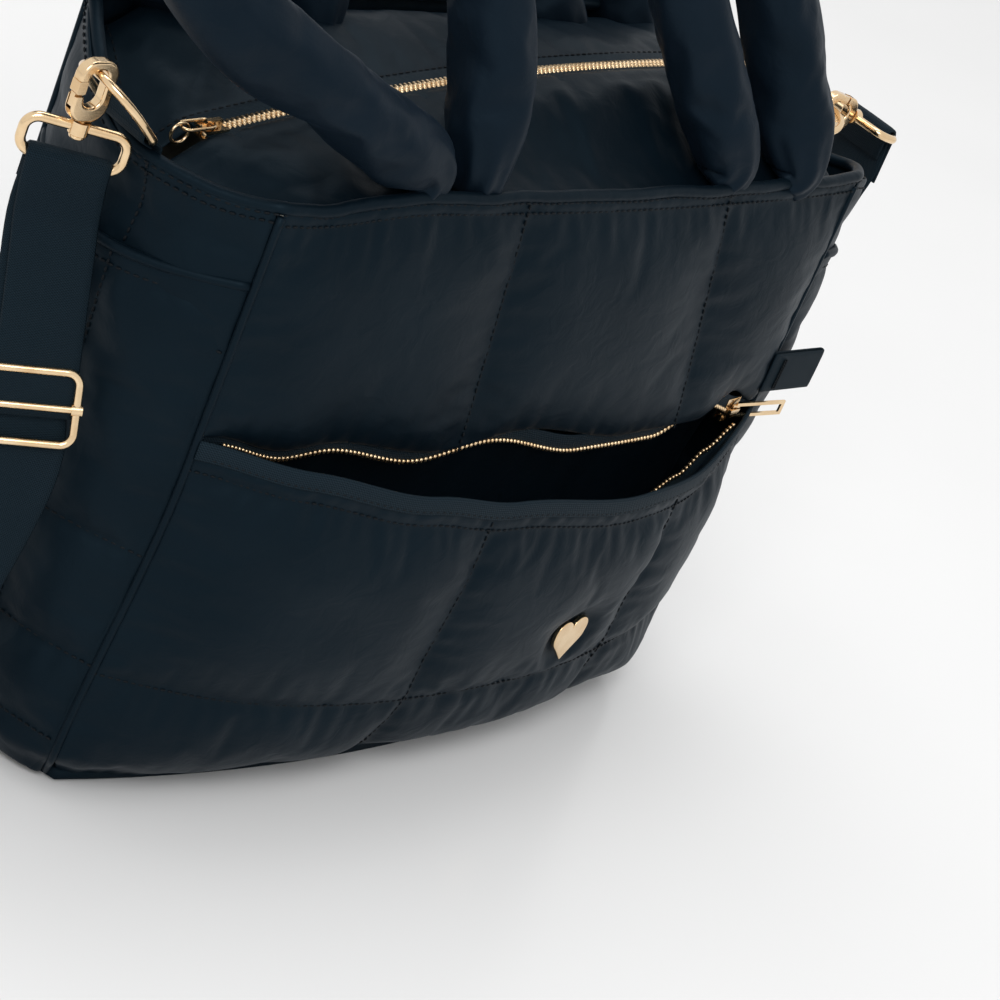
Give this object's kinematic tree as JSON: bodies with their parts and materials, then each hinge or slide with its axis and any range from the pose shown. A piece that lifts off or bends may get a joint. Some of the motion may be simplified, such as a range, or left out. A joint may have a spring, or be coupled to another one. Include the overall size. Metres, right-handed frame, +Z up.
{
  "type": "diaper bag",
  "caption": "Soft quilted changing tote with padded tube handles, a zipped top, an open front zip pocket, side pockets and a clip-on webbing shoulder strap.",
  "frame": {"origin": "on the floor under the middle of the base", "axes": "+Z up, -Y out of the front with the zip pocket, +X to the right seen from behind the bag"},
  "size_m": [0.6461, 0.3636, 0.5968],
  "materials": {
    "nylon": "soft sheen nylon",
    "webbing": "ribbed webbing",
    "lining_fabric": "matte plain weave",
    "wadding": "fluffy",
    "board": "matte",
    "gold_metal": "polished pale gold"
  },
  "bodies": {
    "bag": {"back_lining": "lining_fabric", "back_panel": "nylon", "back_wadding": "wadding", "base_board": "board", "base_lining": "lining_fabric", "base_panel": "nylon", "closure_front_wing": "nylon", "closure_rear_wing": "nylon", "front_lining": "lining_fabric", "front_pocket_lining": "lining_fabric", "front_pocket_panel": "nylon", "front_pocket_wadding": "wadding", "front_upper_panel": "nylon", "front_upper_wadding": "wadding", "heart_badge": "gold_metal", "left_gusset": "nylon", "left_gusset_lining": "lining_fabric", "left_gusset_wadding": "wadding", "left_ring_tab": "webbing", "left_side_pocket": "nylon", "main_zip_front_tape": "webbing", "main_zip_front_teeth": "gold_metal", "main_zip_rear_tape": "webbing", "main_zip_rear_teeth": "gold_metal", "pocket_zip_lower_tape": "webbing", "pocket_zip_lower_teeth": "gold_metal", "pocket_zip_upper_tape": "webbing", "pocket_zip_upper_teeth": "gold_metal", "right_gusset": "nylon", "right_gusset_lining": "lining_fabric", "right_gusset_wadding": "wadding", "right_ring_tab": "webbing", "right_side_pocket": "nylon", "right_side_tab": "webbing", "rim_binding": "nylon", "strap_webbing": "webbing"},
    "front_outer_grip": {"front_outer_handle": "nylon"},
    "front_inner_grip": {"front_inner_handle": "nylon"},
    "rear_outer_grip": {"rear_outer_handle": "nylon"},
    "rear_inner_grip": {"rear_inner_handle": "nylon"},
    "main_slider": {"main_zip_slider": "gold_metal"},
    "main_puller": {"main_zip_link": "gold_metal"},
    "main_drop_ring": {"main_zip_ring": "gold_metal"},
    "pocket_slider": {"pocket_zip_slider": "gold_metal"},
    "pocket_puller": {"pocket_zip_puller": "gold_metal"},
    "left_ring": {"left_d_ring": "gold_metal"},
    "left_clip": {"left_swivel_eye": "gold_metal", "left_strap_end": "webbing"},
    "left_snap": {"left_hook": "gold_metal"},
    "left_gate": {"left_hook_gate": "gold_metal"},
    "right_ring": {"right_d_ring": "gold_metal"},
    "right_clip": {"right_swivel_eye": "gold_metal", "right_strap_end": "webbing"},
    "right_snap": {"right_hook": "gold_metal"},
    "right_gate": {"right_hook_gate": "gold_metal"},
    "strap_adjuster": {"strap_slider": "gold_metal"}
  },
  "joints": [
    {"name": "front_outer_flop", "type": "hinge", "parent": "bag", "child": "front_outer_grip", "pos_m": [0, -0.066, 0.357], "axis": [1, 0, 0], "range_deg": [-3, 105]},
    {"name": "front_inner_flop", "type": "hinge", "parent": "bag", "child": "front_inner_grip", "pos_m": [0, -0.066, 0.357], "axis": [1, 0, 0], "range_deg": [-3, 105]},
    {"name": "rear_outer_flop", "type": "hinge", "parent": "bag", "child": "rear_outer_grip", "pos_m": [0, 0.066, 0.357], "axis": [1, 0, 0], "range_deg": [-25, 30]},
    {"name": "rear_inner_flop", "type": "hinge", "parent": "bag", "child": "rear_inner_grip", "pos_m": [0, 0.066, 0.357], "axis": [1, 0, 0], "range_deg": [-25, 30]},
    {"name": "main_zip_slide", "type": "slide", "parent": "bag", "child": "main_slider", "axis": [0.9954, 0, 0.0958], "range_m": [0, 0.364]},
    {"name": "main_puller_flip", "type": "hinge", "parent": "main_slider", "child": "main_puller", "pos_m": [-0.18554, 0, 0.3283], "axis": [0, 1, 0], "range_deg": [0, 170]},
    {"name": "main_ring_swing", "type": "hinge", "parent": "main_puller", "child": "main_drop_ring", "pos_m": [-0.20346, 0, 0.32658], "axis": [0, 1, 0], "range_deg": [-60, 60]},
    {"name": "pocket_zip_slide", "type": "hinge", "parent": "bag", "child": "pocket_slider", "pos_m": [0, 1.21427, 0.189], "axis": [0, 0, 1], "range_deg": [-17.07, 0]},
    {"name": "pocket_puller_flip", "type": "hinge", "parent": "pocket_slider", "child": "pocket_puller", "pos_m": [0.19356, -0.07545, 0.189], "axis": [0, 0, 1], "range_deg": [-130, 12]},
    {"name": "left_ring_swing", "type": "hinge", "parent": "bag", "child": "left_ring", "pos_m": [-0.236, 0, 0.3305], "axis": [0, 1, 0], "range_deg": [-2, 14]},
    {"name": "left_clip_swing", "type": "hinge", "parent": "bag", "child": "left_clip", "pos_m": [-0.236, 0, 0.3305], "axis": [0, 1, 0], "range_deg": [-2, 14]},
    {"name": "left_snap_swivel", "type": "hinge", "parent": "left_clip", "child": "left_snap", "pos_m": [-0.26127, 0, 0.35325], "axis": [0, 0, 1], "range_deg": [-20, 20]},
    {"name": "left_gate_open", "type": "hinge", "parent": "left_snap", "child": "left_gate", "pos_m": [-0.26867, 0, 0.33965], "axis": [0, 1, 0], "range_deg": [0, 25]},
    {"name": "right_ring_swing", "type": "hinge", "parent": "bag", "child": "right_ring", "pos_m": [0.236, 0, 0.3305], "axis": [0, 1, 0], "range_deg": [-12, 2]},
    {"name": "right_clip_swing", "type": "hinge", "parent": "bag", "child": "right_clip", "pos_m": [0.236, 0, 0.3305], "axis": [0, 1, 0], "range_deg": [-12, 2]},
    {"name": "right_snap_swivel", "type": "hinge", "parent": "right_clip", "child": "right_snap", "pos_m": [0.26948, 0, 0.3364], "axis": [0.9781, 0, -0.2079], "range_deg": [-20, 20]},
    {"name": "right_gate_open", "type": "hinge", "parent": "right_snap", "child": "right_gate", "pos_m": [0.28432, 0, 0.34081], "axis": [0, -1, 0], "range_deg": [0, 25]},
    {"name": "strap_adjust", "type": "slide", "parent": "bag", "child": "strap_adjuster", "axis": [0, 0.2785, 0.9604], "range_m": [-0.04, 0.045]}
  ],
  "couplings": [
    {"joint": "left_ring_swing", "follows": "left_clip_swing", "ratio": 1},
    {"joint": "right_ring_swing", "follows": "right_clip_swing", "ratio": 1}
  ]
}
